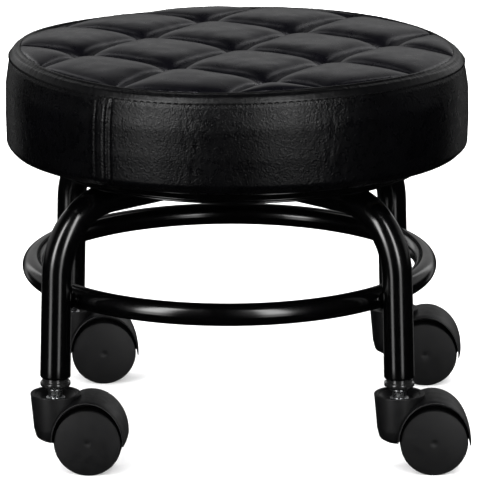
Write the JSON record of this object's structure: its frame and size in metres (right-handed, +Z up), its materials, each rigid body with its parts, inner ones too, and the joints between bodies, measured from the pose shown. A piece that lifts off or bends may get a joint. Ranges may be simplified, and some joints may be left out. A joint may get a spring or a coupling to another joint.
{
  "type": "pedicure stool",
  "caption": "Low round rolling stool: quilted vinyl seat that turns on a swivel plate, bent tube legs welded to a foot ring, twin-wheel casters.",
  "frame": {"origin": "on the floor, on the vertical axis that the seat turns about", "axes": "+Z up, +Y towards the back, +X to the right as a viewer in front sees it, which is the way the casters trail at rest"},
  "size_m": [0.3543, 0.351, 0.303],
  "materials": {
    "vinyl": "black upholstery vinyl with a fine leather grain, satin sheen",
    "foam": "open-cell polyurethane foam",
    "plywood": "plain birch plywood",
    "dust_cloth": "thin black non-woven cloth",
    "black_enamel": "black enamel on steel, high gloss",
    "zinc_steel": "bright zinc plate",
    "bearing_steel": "polished balls in a steel cage",
    "gloss_plastic": "moulded black plastic, glossy",
    "caster_nylon": "moulded black nylon, matt with a fine texture"
  },
  "bodies": {
    "frame": {"foot_ring": "black_enamel", "swivel_lower_plate": "zinc_steel", "ball_race": "bearing_steel", "swivel_rivet": "zinc_steel", "leg_front_left": "black_enamel", "leg_insert_front_left": "gloss_plastic", "caster_stem_front_left": "zinc_steel", "leg_front_right": "black_enamel", "leg_insert_front_right": "gloss_plastic", "caster_stem_front_right": "zinc_steel", "leg_back_left": "black_enamel", "leg_insert_back_left": "gloss_plastic", "caster_stem_back_left": "zinc_steel", "leg_back_right": "black_enamel", "leg_insert_back_right": "gloss_plastic", "caster_stem_back_right": "zinc_steel"},
    "seat": {"quilted_seat_panel": "vinyl", "seat_seam_strip": "vinyl", "seat_side_band": "vinyl", "foam_pad": "foam", "seat_board": "plywood", "dust_cover": "dust_cloth", "seat_pan": "black_enamel", "swivel_upper_plate": "zinc_steel", "seat_screw_1": "zinc_steel", "seat_screw_2": "zinc_steel", "seat_screw_3": "zinc_steel", "seat_screw_4": "zinc_steel"},
    "caster_front_left": {"caster_housing_front_left": "caster_nylon", "caster_axle_front_left": "zinc_steel"},
    "wheel_near_front_left": {"wheel_near_front_left": "caster_nylon"},
    "wheel_far_front_left": {"wheel_far_front_left": "caster_nylon"},
    "caster_front_right": {"caster_housing_front_right": "caster_nylon", "caster_axle_front_right": "zinc_steel"},
    "wheel_near_front_right": {"wheel_near_front_right": "caster_nylon"},
    "wheel_far_front_right": {"wheel_far_front_right": "caster_nylon"},
    "caster_back_left": {"caster_housing_back_left": "caster_nylon", "caster_axle_back_left": "zinc_steel"},
    "wheel_near_back_left": {"wheel_near_back_left": "caster_nylon"},
    "wheel_far_back_left": {"wheel_far_back_left": "caster_nylon"},
    "caster_back_right": {"caster_housing_back_right": "caster_nylon", "caster_axle_back_right": "zinc_steel"},
    "wheel_near_back_right": {"wheel_near_back_right": "caster_nylon"},
    "wheel_far_back_right": {"wheel_far_back_right": "caster_nylon"}
  },
  "joints": [
    {"name": "seat_swivel", "type": "hinge", "parent": "frame", "child": "seat", "pos_m": [0, 0, 0.2186], "axis": [0, 0, 1], "continuous": true},
    {"name": "caster_swivel_front_left", "type": "hinge", "parent": "frame", "child": "caster_front_left", "pos_m": [-0.13435, -0.11969, 0.0595], "axis": [0, 0, 1], "continuous": true},
    {"name": "wheel_spin_near_front_left", "type": "hinge", "parent": "caster_front_left", "child": "wheel_near_front_left", "pos_m": [-0.10891, -0.12147, 0.0254], "axis": [0.0698, 0.9976, 0], "continuous": true},
    {"name": "wheel_spin_far_front_left", "type": "hinge", "parent": "caster_front_left", "child": "wheel_far_front_left", "pos_m": [-0.10891, -0.12147, 0.0254], "axis": [0.0698, 0.9976, 0], "continuous": true},
    {"name": "caster_swivel_front_right", "type": "hinge", "parent": "frame", "child": "caster_front_right", "pos_m": [0.12235, -0.11969, 0.0595], "axis": [0, 0, 1], "continuous": true},
    {"name": "wheel_spin_near_front_right", "type": "hinge", "parent": "caster_front_right", "child": "wheel_near_front_right", "pos_m": [0.14784, -0.1188, 0.0254], "axis": [-0.0349, 0.9994, 0], "continuous": true},
    {"name": "wheel_spin_far_front_right", "type": "hinge", "parent": "caster_front_right", "child": "wheel_far_front_right", "pos_m": [0.14784, -0.1188, 0.0254], "axis": [-0.0349, 0.9994, 0], "continuous": true},
    {"name": "caster_swivel_back_left", "type": "hinge", "parent": "frame", "child": "caster_back_left", "pos_m": [-0.13435, 0.11969, 0.0595], "axis": [0, 0, 1], "continuous": true},
    {"name": "wheel_spin_near_back_left", "type": "hinge", "parent": "caster_back_left", "child": "wheel_near_back_left", "pos_m": [-0.10895, 0.12191, 0.0254], "axis": [-0.0872, 0.9962, 0], "continuous": true},
    {"name": "wheel_spin_far_back_left", "type": "hinge", "parent": "caster_back_left", "child": "wheel_far_back_left", "pos_m": [-0.10895, 0.12191, 0.0254], "axis": [-0.0872, 0.9962, 0], "continuous": true},
    {"name": "caster_swivel_back_right", "type": "hinge", "parent": "frame", "child": "caster_back_right", "pos_m": [0.12235, 0.11969, 0.0595], "axis": [0, 0, 1], "continuous": true},
    {"name": "wheel_spin_near_back_right", "type": "hinge", "parent": "caster_back_right", "child": "wheel_near_back_right", "pos_m": [0.14782, 0.11836, 0.0254], "axis": [0.0523, 0.9986, 0], "continuous": true},
    {"name": "wheel_spin_far_back_right", "type": "hinge", "parent": "caster_back_right", "child": "wheel_far_back_right", "pos_m": [0.14782, 0.11836, 0.0254], "axis": [0.0523, 0.9986, 0], "continuous": true}
  ]
}
